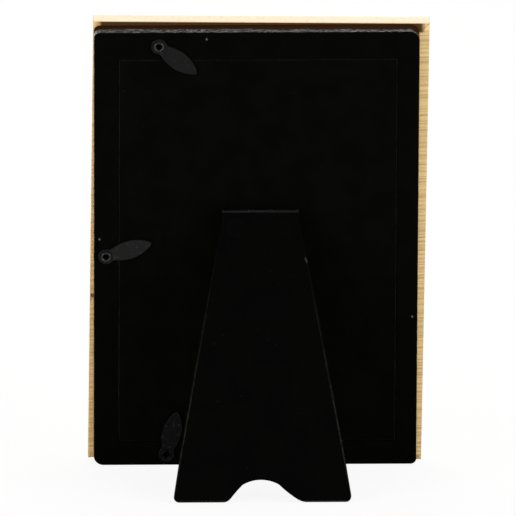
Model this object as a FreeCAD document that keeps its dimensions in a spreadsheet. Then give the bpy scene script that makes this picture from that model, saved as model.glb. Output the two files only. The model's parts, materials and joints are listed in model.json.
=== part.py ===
import FreeCAD, Part
import math
import operator
import os
from types import SimpleNamespace

import Sketcher

# Easel back photo frame for a 4 by 6 inch picture, standing on its open leg.
#
# The pieces are drawn on an upright board: X runs across it, Z up it from the bottom edge
# of the black rear body, and Y out of its back, with the flush rear face at Y = 0.
# The leg and its hinge are drawn about the hinge pin, with the leg folded down.
# The finished pieces are then leaned back until the body's bottom edge and the leg's feet
# stand on the ground. Left and right are named as seen from the picture's side.

SIZES = {
    # Picture sheet, which the whole frame is built round
    "sheet_width": 101.6,
    "sheet_height": 152.4,
    "sheet_thickness": 0.25,
    "sheet_side_room": 1.2,
    "sheet_end_room": 1.7,
    # Wooden front frame: four mitred rails, glued on slightly askew, a lip wider than the body
    "front_side_lip": 2.0,
    "front_end_lip": 0.65,
    "front_depth": 7.0,
    "rail_width": 15.0,
    "front_edge_chamfer": 0.6,
    "front_skew": 0.6,
    "front_offset": 0.9,
    "front_raise": 0.2,
    # Flat nails driven across the four mitres
    "nail_length": 8.0,
    "nail_thickness": 0.8,
    "nail_height": 5.0,
    "nail_fit": 0.02,
    # Black rear body: a rim round the window, with its top left and bottom right corners rounder
    "body_depth": 7.0,
    "body_corner_radius": 2.2,
    "body_rounder_radius": 3.7,
    "body_edge_radius": 0.5,
    "rim_right": 9.1,
    "rim_left": 7.9,
    "rim_top": 10.8,
    "rim_bottom": 9.7,
    # Brads that hold the body to the front
    "brad_radius": 0.45,
    "brad_length": 11.0,
    "brad_head_radius": 0.8,
    "brad_head_height": 0.5,
    "brad_inset": 2.4,
    "brad_fit": 0.02,
    # Glass pane and back panel in the window
    "pane_thickness": 2.0,
    "pane_gap": 0.3,
    "panel_thickness": 2.5,
    "panel_gap": 0.25,
    "panel_edge_chamfer": 0.2,
    # Tongue that tucks the panel's left edge into the body
    "tongue_length": 90.0,
    "tongue_thickness": 1.0,
    "tongue_reach": 1.4,
    "tongue_gap": 0.2,
    # Turn buttons and the eyelets they turn on
    "button_point": 18.4,
    "button_width": 7.0,
    "button_neck_width": 4.0,
    "button_end_radius": 3.0,
    "button_tip_radius": 1.2,
    "button_thickness": 0.95,
    "button_dish_radius": 2.6,
    "button_dish_depth": 0.2,
    "button_edge_chamfer": 0.2,
    "button_neck_radius": 1.5,
    "button_gap": 0.1,
    "button_fit": 0.08,
    "button_top_across": 36.4,
    "button_bottom_across": 33.3,
    "button_side_height": 85.8,
    "button_top_turn": -128.0,
    "button_side_turn": -72.0,
    "button_bottom_turn": -13.0,
    "eyelet_bore_radius": 1.1,
    "eyelet_barrel_radius": 1.45,
    "eyelet_flange_radius": 2.05,
    "eyelet_flange_height": 0.45,
    "eyelet_length": 4.5,
    "eyelet_fit": 0.02,
    # Hinge: a leaf riveted to the panel, a pin and a clasp riveted to the leg
    "hinge_height": 103.8,
    "hinge_shift": 1.5,
    "leg_open": 34.0,
    "pin_radius": 0.6,
    "pin_inset": 0.2,
    "pin_fit": 0.02,
    "hinge_fit": 0.05,
    "leaf_thickness": 0.7,
    "leaf_width": 24.0,
    "leaf_drop": 11.0,
    "knuckle_width": 9.7,
    "knuckle_gap": 0.15,
    "clasp_thickness": 0.5,
    "clasp_drop": 10.0,
    "stop_width": 0.5,
    "stop_gap": 0.05,
    "stop_drop": 1.4,
    "stop_inset": 0.9,
    "rivet_radius": 0.9,
    "rivet_fit": 0.02,
    "rivet_drop": 6.4,
    "leaf_rivet_spread": 16.0,
    "leaf_rivet_head_radius": 1.8,
    "leaf_rivet_head_height": 0.4,
    "leaf_rivet_tail_radius": 1.6,
    "leaf_rivet_tail_height": 0.5,
    "leg_rivet_spread": 18.4,
    "leg_rivet_head_radius": 4.0,
    "leg_rivet_head_height": 0.15,
    "leg_rivet_tail_radius": 1.5,
    "leg_rivet_tail_height": 0.35,
    # Easel leg with an arch between its two feet
    "leg_length": 109.6,
    "leg_thickness": 2.4,
    "leg_top_width": 28.7,
    "leg_top_drop": 0.6,
    "leg_shoulder": 3.8,
    "leg_foot_width": 66.6,
    "leg_bow_depth": 0.7,
    "leg_corner_radius": 2.0,
    "leg_edge_chamfer": 0.3,
    "arch_reach_right": 12.9,
    "arch_reach_left": 14.8,
    "arch_height": 8.4,
    "arch_crown_shift": 1.4,
    "arch_turn_radius": 3.0,
    "arch_toe_radius_right": 3.5,
    "arch_toe_radius_left": 7.0,
    # How far every cut runs past what it cuts
    "overrun": 1.0,
}

# Shares that place a detail along the piece that carries it
BUTTON_BELLY_SHARE = 0.565
# How high the arch's crown meets its flanks, and how far across on each side
ARCH_TURN_UP_SHARE = 0.785
ARCH_TURN_ACROSS_SHARES = {"right": 0.566, "left": 0.418}
# A place on each flank, as shares of the way from the toe to the crown's end
ARCH_FLANK_ACROSS_SHARES = {"right": 0.421, "left": 0.466}
ARCH_FLANK_UP_SHARES = {"right": 0.461, "left": 0.397}
# Where a brad stands along each side of the body, from that side's middle
BRAD_SHARES = {"right": 0.024, "left": -0.156, "top": 0.153, "bottom": -0.1}

NEAR = 1e-4

OPERATIONS = {"+": operator.add, "-": operator.sub, "*": operator.mul, "/": operator.truediv}

doc = FreeCAD.newDocument("EaselBackFrame")
sheet = doc.addObject("Spreadsheet::Sheet", "Sizes")
for row, (alias, number) in enumerate(SIZES.items(), start=1):
    sheet.set(f"A{row}", alias)
    sheet.set(f"B{row}", str(number))
    sheet.setAlias(f"B{row}", alias)
doc.recompute()


class Size:
    """A number with the sheet formula that gives it, so that a sum on sizes stays bound."""

    def __init__(self, value, formula):
        self.value = float(value)
        self.formula = formula

    def __add__(self, other):
        return combine(self, "+", other)

    def __radd__(self, other):
        return combine(other, "+", self)

    def __sub__(self, other):
        return combine(self, "-", other)

    def __rsub__(self, other):
        return combine(other, "-", self)

    def __mul__(self, other):
        return combine(self, "*", other)

    def __rmul__(self, other):
        return combine(other, "*", self)

    def __truediv__(self, other):
        return combine(self, "/", other)

    def __neg__(self):
        return combine(0, "-", self)

    def sine(self):
        return Size(math.sin(math.radians(self.value)), f"sin({self.formula})")

    def cosine(self):
        return Size(math.cos(math.radians(self.value)), f"cos({self.formula})")

    def root(self):
        return Size(math.sqrt(self.value), f"sqrt({self.formula})")


def as_size(number):
    return number if isinstance(number, Size) else Size(number, repr(number))


def combine(left, sign, right):
    left = as_size(left)
    right = as_size(right)
    value = OPERATIONS[sign](left.value, right.value)
    return Size(value, f"({left.formula} {sign} {right.formula})")


size = SimpleNamespace(**{name: Size(number, f"Sizes.{name}") for name, number in SIZES.items()})

# Sizes that several pieces share
body_width = size.sheet_width + 2 * size.sheet_side_room + size.rim_left + size.rim_right
body_height = size.sheet_height + 2 * size.sheet_end_room + size.rim_bottom + size.rim_top
front_width = body_width + 2 * size.front_side_lip
front_height = body_height + 2 * size.front_end_lip
body_middle = body_height / 2
window_left = size.rim_left - body_width / 2
window_right = body_width / 2 - size.rim_right
window_bottom = size.rim_bottom
window_top = body_height - size.rim_top
window_across = (window_left + window_right) / 2
window_middle = (window_bottom + window_top) / 2
pane_rear = size.pane_thickness - size.body_depth
sheet_rear = pane_rear + size.sheet_thickness
panel_front = -size.panel_thickness
panel_left = window_left + size.panel_gap
tongue_middle = panel_front / 2
button_top_face = size.button_gap + size.button_thickness
eyelet_seat = button_top_face - size.button_dish_depth + size.button_gap
leaf_bore = size.pin_radius + size.pin_fit
pin_height = leaf_bore + size.leaf_thickness
clasp_bore = size.pin_radius + size.hinge_fit
clasp_radius = clasp_bore + size.clasp_thickness
knuckle_room = size.knuckle_width / 2 + size.knuckle_gap
stop_reach = (pin_height - size.stop_gap - size.stop_inset * size.leg_open.cosine()) / size.leg_open.sine()
leg_rear = clasp_radius + size.leg_thickness
rivet_hole = size.rivet_radius + size.rivet_fit

BUTTONS = {
    "top": (size.button_top_across, body_height - size.rim_top / 2, size.button_top_turn),
    "side": (body_width / 2 - size.rim_right / 2, size.button_side_height, size.button_side_turn),
    "bottom": (size.button_bottom_across, size.rim_bottom / 2, size.button_bottom_turn),
}


def brad_places():
    """Give the brads' places on the board, one for each side of the body."""
    across = body_width / 2 - size.brad_inset
    upward = body_middle - size.brad_inset
    return {
        "right": (across, body_middle + BRAD_SHARES["right"] * body_height),
        "left": (-across, body_middle + BRAD_SHARES["left"] * body_height),
        "top": (BRAD_SHARES["top"] * body_width, body_middle + upward),
        "bottom": (BRAD_SHARES["bottom"] * body_width, body_middle - upward),
    }


def on_front(place):
    """Turn a place on the board into the front frame's own, askew coordinates."""
    across = place[0] + size.front_offset
    upward = place[1] - body_middle - size.front_raise
    sine = size.front_skew.sine()
    cosine = size.front_skew.cosine()
    return across * cosine + upward * sine, upward * cosine - across * sine


def bind(target, path, length):
    target.setExpression(path, length.formula)


def new_body(label):
    body = doc.addObject("PartDesign::Body", label)
    body.Label = label
    body.AllowCompound = True
    return body


def new_sketch(body, role, level):
    """Start a sketch parallel to one of the body's own origin planes, at a level along its normal."""
    plane = next(feature for feature in body.Origin.OriginFeatures if feature.Role == role)
    sketch = body.newObject("Sketcher::SketchObject", "Sketch")
    sketch.AttachmentSupport = [(plane, "")]
    sketch.MapMode = "FlatFace"
    bind(sketch, "AttachmentOffset.Base.z", as_size(level))
    return sketch


def pin_point(sketch, element, end, place):
    """Tie a point to the sketch's origin by its two distances."""
    for kind, length in zip(("DistanceX", "DistanceY"), place):
        length = as_size(length)
        index = sketch.addConstraint(Sketcher.Constraint(kind, -1, 1, element, end, length.value))
        bind(sketch, f"Constraints[{index}]", length)


def vector(place):
    return FreeCAD.Vector(*(as_size(length).value for length in place), 0)


def draw_outline(sketch, corners):
    """Draw a closed outline through corners.

    A corner is its place, or its place and a second one: the side that leaves it is then an arc
    through that second place.
    """
    places = [corner[:2] for corner in corners]
    ends = []
    for number, corner in enumerate(corners):
        start = places[number]
        stop = places[(number + 1) % len(places)]
        if len(corner) == 2:
            element = sketch.addGeometry(Part.LineSegment(vector(start), vector(stop)))
            ends.append((element, 1, 2))
            continue
        through = corner[2]
        first = vector(through) - vector(start)
        second = vector(stop) - vector(through)
        forward = first.cross(second).z > 0
        along = (start, through, stop) if forward else (stop, through, start)
        element = sketch.addGeometry(Part.Arc(*(vector(place) for place in along)))
        ends.append((element, 1, 2) if forward else (element, 2, 1))
        mark = sketch.addGeometry(Part.Point(vector(through)), True)
        pin_point(sketch, mark, 1, through)
        sketch.addConstraint(Sketcher.Constraint("PointOnObject", mark, 1, element))
    for number, (element, start, stop) in enumerate(ends):
        following, following_start, _ = ends[(number + 1) % len(ends)]
        sketch.addConstraint(Sketcher.Constraint("Coincident", element, stop, following, following_start))
        pin_point(sketch, element, start, places[number])


def draw_rectangle(sketch, left, right, bottom, top):
    draw_outline(sketch, [(left, bottom), (right, bottom), (right, top), (left, top)])


def draw_circle(sketch, place, radius):
    circle = Part.Circle(vector(place), FreeCAD.Vector(0, 0, 1), radius.value)
    element = sketch.addGeometry(circle)
    pin_point(sketch, element, 3, place)
    index = sketch.addConstraint(Sketcher.Constraint("Radius", element, radius.value))
    bind(sketch, f"Constraints[{index}]", radius)


def extrude(body, kind, sketch, length, symmetric=False):
    """Add a Pad or cut a Pocket, and check that the volume went the right way."""
    doc.recompute()
    before = body.Shape.Volume if body.Tip and not body.Shape.isNull() else 0.0
    feature = body.newObject(f"PartDesign::{kind}", kind)
    feature.Profile = sketch
    if symmetric:
        feature.SideType = "Symmetric"
    bind(feature, "Length", length)
    doc.recompute()
    gained = body.Shape.Volume - before
    if gained * (1 if kind == "Pad" else -1) <= 0:
        raise RuntimeError(f"{body.Label}: {kind} changed nothing")
    return feature


def plate(body, rear, thickness, draw):
    """Pad an outline in the board's plane, forward from its rear level."""
    sketch = new_sketch(body, "XZ_Plane", -as_size(rear))
    draw(sketch)
    return extrude(body, "Pad", sketch, thickness)


def sink(body, front, depth, draw):
    """Cut an outline in the board's plane, rearward from a front level."""
    sketch = new_sketch(body, "XZ_Plane", -as_size(front))
    draw(sketch)
    return extrude(body, "Pocket", sketch, depth)


def soften(body, kind, length, wanted):
    """Fillet or chamfer the edges of the body that pass a test."""
    doc.recompute()
    base = body.Tip
    names = [f"Edge{number}" for number, edge in enumerate(base.Shape.Edges, start=1) if wanted(edge)]
    feature = body.newObject(f"PartDesign::{kind}", kind)
    feature.Base = (base, names)
    bind(feature, "Radius" if kind == "Fillet" else "Size", length)
    doc.recompute()
    return feature


def at_level(edge, level):
    """Say whether an edge lies in the plane at one level of Y."""
    box = edge.BoundBox
    return abs(box.YMin - level.value) < NEAR and abs(box.YMax - level.value) < NEAR


def runs_back(edge):
    """Say whether an edge is straight and runs along Y."""
    box = edge.BoundBox
    return box.XLength < NEAR and box.ZLength < NEAR


def nail_outline(side, end, room):
    """Give the outline of a nail across one mitre of the front, with room round it."""
    diagonal = as_size(2).root()
    across = side * (front_width / 2 - size.rail_width / 2)
    upward = end * (front_height / 2 - size.rail_width / 2)
    long = (size.nail_length / 2 + room) / diagonal
    wide = (size.nail_thickness / 2 + room) / diagonal
    return [
        (across + side * (along * long + beside * wide), upward + end * (beside * wide - along * long))
        for along, beside in ((-1, -1), (1, -1), (1, 1), (-1, 1))
    ]


def front_rail(name):
    """Make one mitred rail of the front, about the front's own centre."""
    half_width = front_width / 2
    half_height = front_height / 2
    inner_width = half_width - size.rail_width
    inner_height = half_height - size.rail_width
    side = {"left": -1, "right": 1}.get(name, 0)
    end = {"bottom": -1, "top": 1}.get(name, 0)
    if end:
        outline = [
            (half_width, end * half_height),
            (-half_width, end * half_height),
            (-inner_width, end * inner_height),
            (inner_width, end * inner_height),
        ]
        corners = [(-1, end), (1, end)]
    else:
        outline = [
            (side * half_width, half_height),
            (side * half_width, -half_height),
            (side * inner_width, -inner_height),
            (side * inner_width, inner_height),
        ]
        corners = [(side, -1), (side, 1)]
    rear = -size.body_depth
    front = rear - size.front_depth
    body = new_body(f"front_rail_{name}")
    plate(body, rear, size.front_depth, lambda sketch: draw_outline(sketch, outline))

    def along_front(edge):
        box = edge.BoundBox
        return at_level(edge, front) and (box.ZLength < NEAR if end else box.XLength < NEAR)

    soften(body, "Chamfer", size.front_edge_chamfer, along_front)

    def draw_nails(sketch):
        for corner_side, corner_end in corners:
            draw_outline(sketch, nail_outline(corner_side, corner_end, size.nail_fit))

    sink(body, rear - size.nail_height, size.nail_height + size.overrun, draw_nails)

    def draw_brad(sketch):
        draw_circle(sketch, on_front(brad_places()[name]), size.brad_radius + size.brad_fit)

    brad_end = -size.brad_length - size.brad_fit
    sink(body, brad_end, size.brad_length + size.overrun, draw_brad)
    return body


def corner_nails():
    body = new_body("corner_nails")

    def draw(sketch):
        for side in (-1, 1):
            for end in (-1, 1):
                draw_outline(sketch, nail_outline(side, end, as_size(0)))

    plate(body, -size.body_depth, size.nail_height, draw)
    return body


def brad_circles(radius):
    """Give a function that draws a circle at each brad's place."""
    def draw(sketch):
        for place in brad_places().values():
            draw_circle(sketch, place, radius)
    return draw


def rear_body():
    """Make the black body: a ring with round corners, flush round the panel."""
    half_width = body_width / 2
    body = new_body("rear_body")

    def draw_ring(sketch):
        draw_rectangle(sketch, -half_width, half_width, as_size(0), body_height)
        draw_rectangle(sketch, window_left, window_right, window_bottom, window_top)

    def at_corner(edge):
        return runs_back(edge) and abs(abs(edge.BoundBox.XMin) - half_width.value) < NEAR

    def at_rounder_corner(edge):
        middle = edge.BoundBox.Center
        return at_corner(edge) and middle.x * (middle.z - body_middle.value) < 0

    def at_sharper_corner(edge):
        return at_corner(edge) and not at_rounder_corner(edge)

    def round_outside(edge):
        middle = edge.BoundBox.Center
        inset = size.body_rounder_radius.value
        beside = abs(middle.x) > half_width.value - inset
        beyond = abs(middle.z - body_middle.value) > body_middle.value - inset
        return at_level(edge, as_size(0)) and (beside or beyond)

    def draw_groove(sketch):
        reach = size.tongue_reach - size.panel_gap + size.tongue_gap
        half_length = size.tongue_length / 2 + size.tongue_gap
        draw_rectangle(
            sketch,
            window_left - reach,
            window_left + size.overrun,
            window_middle - half_length,
            window_middle + half_length,
        )

    def draw_eyelets(sketch):
        for across, upward, _ in BUTTONS.values():
            draw_circle(sketch, (across, upward), size.eyelet_barrel_radius + size.eyelet_fit)

    plate(body, as_size(0), size.body_depth, draw_ring)
    soften(body, "Fillet", size.body_corner_radius, at_sharper_corner)
    soften(body, "Fillet", size.body_rounder_radius, at_rounder_corner)
    soften(body, "Fillet", size.body_edge_radius, round_outside)
    groove_height = size.tongue_thickness + 2 * size.tongue_gap
    sink(body, tongue_middle - groove_height / 2, groove_height, draw_groove)
    eyelet_depth = size.eyelet_length + size.eyelet_fit
    sink(body, -eyelet_depth, eyelet_depth + size.overrun, draw_eyelets)
    front = -size.body_depth - size.overrun
    sink(body, front, size.body_depth + 2 * size.overrun, brad_circles(size.brad_radius + size.brad_fit))
    head_depth = size.brad_head_height + size.brad_fit
    head_hole = size.brad_head_radius + size.brad_fit
    sink(body, -head_depth, head_depth + size.overrun, brad_circles(head_hole))
    return body


def body_brads():
    body = new_body("body_brads")
    plate(body, as_size(0), size.brad_length, brad_circles(size.brad_radius))
    plate(body, as_size(0), size.brad_head_height, brad_circles(size.brad_head_radius))
    return body


def window_plate(label, rear, thickness, gap):
    """Make a plain plate that fills the window, less a gap round it."""
    body = new_body(label)

    def draw(sketch):
        draw_rectangle(
            sketch, window_left + gap, window_right - gap, window_bottom + gap, window_top - gap
        )

    plate(body, rear, thickness, draw)
    return body


def picture_sheet():
    body = new_body("picture_sheet")
    half_width = size.sheet_width / 2
    half_height = size.sheet_height / 2

    def draw(sketch):
        draw_rectangle(
            sketch,
            window_across - half_width,
            window_across + half_width,
            window_middle - half_height,
            window_middle + half_height,
        )

    plate(body, sheet_rear, size.sheet_thickness, draw)
    return body


def rivet_circles(across, spread, height, radius):
    """Give a function that draws a pair of circles, one for each rivet."""
    def draw(sketch):
        for side in (-1, 1):
            draw_circle(sketch, (across + side * spread / 2, height), radius)
    return draw


def leaf_rivet_circles(radius):
    height = size.hinge_height - size.rivet_drop
    return rivet_circles(-size.hinge_shift, size.leaf_rivet_spread, height, radius)


def filler_card():
    """Make the card between picture and panel, dented where the leaf's rivets end."""
    thickness = panel_front - sheet_rear
    body = window_plate("filler_card", panel_front, thickness, size.pane_gap)
    dent_depth = size.leaf_rivet_tail_height + size.rivet_fit
    dent_radius = size.leaf_rivet_tail_radius + size.rivet_fit
    sink(body, panel_front - dent_depth, dent_depth + size.overrun, leaf_rivet_circles(dent_radius))
    return body


def back_panel():
    """Make the removable panel with its tongue and the two rivet holes of the hinge leaf."""
    body = window_plate("back_panel", as_size(0), size.panel_thickness, size.panel_gap)

    def at_rear(edge):
        return at_level(edge, as_size(0))

    def draw_tongue(sketch):
        draw_rectangle(
            sketch,
            panel_left - size.tongue_reach,
            panel_left + size.overrun,
            window_middle - size.tongue_length / 2,
            window_middle + size.tongue_length / 2,
        )

    soften(body, "Chamfer", size.panel_edge_chamfer, at_rear)
    plate(body, tongue_middle + size.tongue_thickness / 2, size.tongue_thickness, draw_tongue)
    front = panel_front - size.overrun
    sink(body, front, size.panel_thickness + 2 * size.overrun, leaf_rivet_circles(rivet_hole))
    return body


def turn_button(name):
    """Make a leaf-shaped button about its eyelet, pointing up."""
    body = new_body(f"turn_button_{name}")
    neck = size.button_neck_width / 2
    neck_height = (size.button_end_radius * size.button_end_radius - neck * neck).root()
    belly = size.button_width / 2
    belly_height = BUTTON_BELLY_SHARE * size.button_point

    def draw_leaf(sketch):
        draw_outline(sketch, [
            (neck, neck_height, (belly, belly_height)),
            (as_size(0), size.button_point, (-belly, belly_height)),
            (-neck, neck_height, (as_size(0), -size.button_end_radius)),
        ])
        draw_circle(sketch, (as_size(0), as_size(0)), size.eyelet_barrel_radius + size.button_fit)

    def draw_dish(sketch):
        draw_circle(sketch, (as_size(0), as_size(0)), size.button_dish_radius)

    def at_neck(edge):
        box = edge.BoundBox
        beside = abs(abs(box.XMin) - neck.value) < NEAR
        return runs_back(edge) and beside and abs(box.ZMin - neck_height.value) < NEAR

    def at_tip(edge):
        box = edge.BoundBox
        return runs_back(edge) and abs(box.XMin) < NEAR and abs(box.ZMin - size.button_point.value) < NEAR

    plate(body, button_top_face, size.button_thickness, draw_leaf)
    soften(body, "Fillet", size.button_tip_radius, at_tip)
    soften(body, "Fillet", size.button_neck_radius, at_neck)
    soften(body, "Chamfer", size.button_edge_chamfer, lambda edge: at_level(edge, button_top_face))
    dish = button_top_face - size.button_dish_depth
    sink(body, dish, size.button_dish_depth + size.overrun, draw_dish)
    return body


def button_eyelet(name):
    """Make a hollow rivet with a rolled flange, turned about the Y axis."""
    body = new_body(f"button_eyelet_{name}")
    sketch = new_sketch(body, "YZ_Plane", as_size(0))
    bore = size.eyelet_bore_radius
    barrel = size.eyelet_barrel_radius
    flange = size.eyelet_flange_radius
    crest = eyelet_seat + size.eyelet_flange_height
    draw_outline(sketch, [
        (-size.eyelet_length, bore),
        (eyelet_seat, bore, (crest, (bore + flange) / 2)),
        (eyelet_seat, flange),
        (eyelet_seat, barrel),
        (-size.eyelet_length, barrel),
    ])
    turned = body.newObject("PartDesign::Revolution", "Revolution")
    turned.Profile = sketch
    turned.ReferenceAxis = (sketch, ["H_Axis"])
    turned.Angle = 360.0
    doc.recompute()
    return body


def hinge_leaf():
    """Make the leaf on the panel, about the pin, with its knuckle in the middle."""
    body = new_body("hinge_leaf")
    half_leaf = size.leaf_width / 2
    half_knuckle = size.knuckle_width / 2
    shoulder = -clasp_radius - size.knuckle_gap
    panel_face = -pin_height

    def draw_leaf(sketch):
        draw_outline(sketch, [
            (-half_leaf, -size.leaf_drop),
            (half_leaf, -size.leaf_drop),
            (half_leaf, shoulder),
            (half_knuckle, shoulder),
            (half_knuckle, as_size(0)),
            (-half_knuckle, as_size(0)),
            (-half_knuckle, shoulder),
            (-half_leaf, shoulder),
        ])

    plate(body, panel_face + size.leaf_thickness, size.leaf_thickness, draw_leaf)
    knuckle = new_sketch(body, "YZ_Plane", as_size(0))
    draw_circle(knuckle, (as_size(0), as_size(0)), pin_height)
    extrude(body, "Pad", knuckle, size.knuckle_width, symmetric=True)
    bore = new_sketch(body, "YZ_Plane", as_size(0))
    draw_circle(bore, (as_size(0), as_size(0)), leaf_bore)
    extrude(body, "Pocket", bore, size.knuckle_width + 2 * size.overrun, symmetric=True)
    holes = rivet_circles(as_size(0), size.leaf_rivet_spread, -size.rivet_drop, rivet_hole)
    sink(body, panel_face - size.overrun, size.leaf_thickness + 2 * size.overrun, holes)
    return body


def hinge_pin():
    body = new_body("hinge_pin")
    sketch = new_sketch(body, "YZ_Plane", as_size(0))
    draw_circle(sketch, (as_size(0), as_size(0)), size.pin_radius)
    extrude(body, "Pad", sketch, size.leg_top_width - 2 * size.pin_inset, symmetric=True)
    return body


def leg_clasp():
    """Make the clasp on the leg: a plate, a knuckle at each side and the two stops at its ends."""
    body = new_body("leg_clasp")
    half_width = size.leg_top_width / 2
    stop_side = half_width - size.stop_width
    notch = -pin_height - size.knuckle_gap

    def draw_plate(sketch):
        draw_outline(sketch, [
            (-half_width, -size.clasp_drop),
            (half_width, -size.clasp_drop),
            (half_width, as_size(0)),
            (knuckle_room, as_size(0)),
            (knuckle_room, notch),
            (-knuckle_room, notch),
            (-knuckle_room, as_size(0)),
            (-half_width, as_size(0)),
        ])

    plate(body, clasp_radius, size.clasp_thickness, draw_plate)
    for side in (-1, 1):
        middle = side * (half_width + knuckle_room) / 2
        knuckle = new_sketch(body, "YZ_Plane", middle)
        draw_circle(knuckle, (as_size(0), as_size(0)), clasp_radius)
        extrude(body, "Pad", knuckle, half_width - knuckle_room, symmetric=True)
        stop = new_sketch(body, "YZ_Plane", side * (half_width + stop_side) / 2)
        draw_rectangle(stop, -size.stop_inset, clasp_radius, -size.stop_drop, stop_reach)
        extrude(body, "Pad", stop, size.stop_width, symmetric=True)
    bore = new_sketch(body, "YZ_Plane", as_size(0))
    draw_circle(bore, (as_size(0), as_size(0)), clasp_bore)
    extrude(body, "Pocket", bore, size.leg_top_width + 2 * size.overrun, symmetric=True)
    holes = rivet_circles(as_size(0), size.leg_rivet_spread, -size.rivet_drop, rivet_hole)
    front = clasp_radius - size.clasp_thickness - size.overrun
    sink(body, front, size.clasp_thickness + 2 * size.overrun, holes)
    return body


def easel_leg():
    """Make the leg about the pin, folded down: straight shoulders, bowed sides and an uneven arch."""
    body = new_body("easel_leg")
    half_top = size.leg_top_width / 2
    half_foot = size.leg_foot_width / 2
    top = -size.leg_top_drop
    shoulder = -size.leg_shoulder
    foot = -size.leg_length
    crown = foot + size.arch_height
    turn_height = foot + ARCH_TURN_UP_SHARE * size.arch_height
    side_across = (half_top + half_foot) / 2 + size.leg_bow_depth
    side_height = (shoulder + foot) / 2

    def flank(name, reach):
        """Give one flank's crown end and the place that it bows through, with distances across."""
        turn = ARCH_TURN_ACROSS_SHARES[name] * reach
        across = reach - ARCH_FLANK_ACROSS_SHARES[name] * (reach - turn)
        return turn, across, foot + ARCH_FLANK_UP_SHARES[name] * (turn_height - foot)

    turn_left, flank_left, rise_left = flank("left", size.arch_reach_left)
    turn_right, flank_right, rise_right = flank("right", size.arch_reach_right)

    def draw(sketch):
        draw_outline(sketch, [
            (half_top, top),
            (-half_top, top),
            (-half_top, shoulder, (-side_across, side_height)),
            (-half_foot, foot),
            (-size.arch_reach_left, foot, (-flank_left, rise_left)),
            (-turn_left, turn_height, (size.arch_crown_shift, crown)),
            (turn_right, turn_height, (flank_right, rise_right)),
            (size.arch_reach_right, foot),
            (half_foot, foot, (side_across, side_height)),
            (half_top, shoulder),
        ])

    def stands_at(edge, across):
        box = edge.BoundBox
        return runs_back(edge) and abs(box.XMin - across.value) < NEAR and abs(box.ZMin - foot.value) < NEAR

    def at_foot_corner(edge):
        return stands_at(edge, half_foot) or stands_at(edge, -half_foot)

    def at_turn(edge):
        box = edge.BoundBox
        level = abs(box.ZMin - turn_height.value) < NEAR
        beside = min(abs(box.XMin - turn_right.value), abs(box.XMin + turn_left.value)) < NEAR
        return runs_back(edge) and level and beside

    plate(body, leg_rear, size.leg_thickness, draw)
    soften(body, "Fillet", size.leg_corner_radius, at_foot_corner)
    soften(body, "Fillet", size.arch_turn_radius, at_turn)
    soften(body, "Fillet", size.arch_toe_radius_right, lambda edge: stands_at(edge, size.arch_reach_right))
    soften(body, "Fillet", size.arch_toe_radius_left, lambda edge: stands_at(edge, -size.arch_reach_left))
    soften(body, "Chamfer", size.leg_edge_chamfer, lambda edge: at_level(edge, leg_rear))
    holes = rivet_circles(as_size(0), size.leg_rivet_spread, -size.rivet_drop, rivet_hole)
    sink(body, clasp_radius - size.overrun, size.leg_thickness + 2 * size.overrun, holes)
    return body


def rivet_pair(label, spread, front, rear, tail, head):
    """Make two rivets about the pin, each a shank between a formed tail and a head."""
    body = new_body(label)
    tail_radius, tail_height = tail
    head_radius, head_height = head

    def draw(radius):
        return rivet_circles(as_size(0), spread, -size.rivet_drop, radius)

    plate(body, rear + head_height, rear - front + head_height + tail_height, draw(size.rivet_radius))
    plate(body, front, tail_height, draw(tail_radius))
    plate(body, rear + head_height, head_height, draw(head_radius))
    return body


def leaf_rivets():
    tail = (size.leaf_rivet_tail_radius, size.leaf_rivet_tail_height)
    head = (size.leaf_rivet_head_radius, size.leaf_rivet_head_height)
    front = -pin_height - size.panel_thickness
    rear = size.leaf_thickness - pin_height
    return rivet_pair("leaf_rivets", size.leaf_rivet_spread, front, rear, tail, head)


def leg_rivets():
    tail = (size.leg_rivet_tail_radius, size.leg_rivet_tail_height)
    head = (size.leg_rivet_head_radius, size.leg_rivet_head_height)
    front = clasp_radius - size.clasp_thickness
    return rivet_pair("leg_rivets", size.leg_rivet_spread, front, leg_rear, tail, head)


def placement(across, outward, upward, axis=(0, 0, 1), turn=0.0):
    """Give a placement from three lengths and a turn in degrees about an axis."""
    place = FreeCAD.Vector(*(as_size(length).value for length in (across, outward, upward)))
    return FreeCAD.Placement(place, FreeCAD.Rotation(FreeCAD.Vector(*axis), turn))


def lean_angle():
    """Give the lean at which the body's bottom edge and the leg's feet both stand on the ground.

    The feet stand on the edge of their front faces.
    """
    sine = size.leg_open.sine().value
    cosine = size.leg_open.cosine().value
    reach = size.leg_length.value
    inner = clasp_radius.value
    height = size.hinge_height.value - reach * cosine + inner * sine
    outward = pin_height.value + reach * sine + inner * cosine
    return math.degrees(math.atan2(height, outward))


upright = placement(0, 0, 0)
front_middle = body_middle + size.front_raise
front_place = placement(-size.front_offset, 0, front_middle, (0, 1, 0), -size.front_skew.value)
leaf_place = placement(-size.hinge_shift, pin_height, size.hinge_height)
leg_place = placement(-size.hinge_shift, pin_height, size.hinge_height, (1, 0, 0), size.leg_open.value)

pieces = [(front_rail(name), front_place) for name in ("top", "bottom", "left", "right")]
pieces += [
    (corner_nails(), front_place),
    (rear_body(), upright),
    (body_brads(), upright),
    (window_plate("glass_pane", pane_rear, size.pane_thickness, size.pane_gap), upright),
    (picture_sheet(), upright),
    (filler_card(), upright),
    (back_panel(), upright),
]
for name, (across, upward, turn) in BUTTONS.items():
    pieces.append((turn_button(name), placement(across, 0, upward, (0, 1, 0), turn.value)))
    pieces.append((button_eyelet(name), placement(across, 0, upward)))
pieces += [
    (hinge_leaf(), leaf_place),
    (leaf_rivets(), leaf_place),
    (hinge_pin(), leaf_place),
    (leg_clasp(), leg_place),
    (leg_rivets(), leg_place),
    (easel_leg(), leg_place),
]
doc.recompute()

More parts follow.
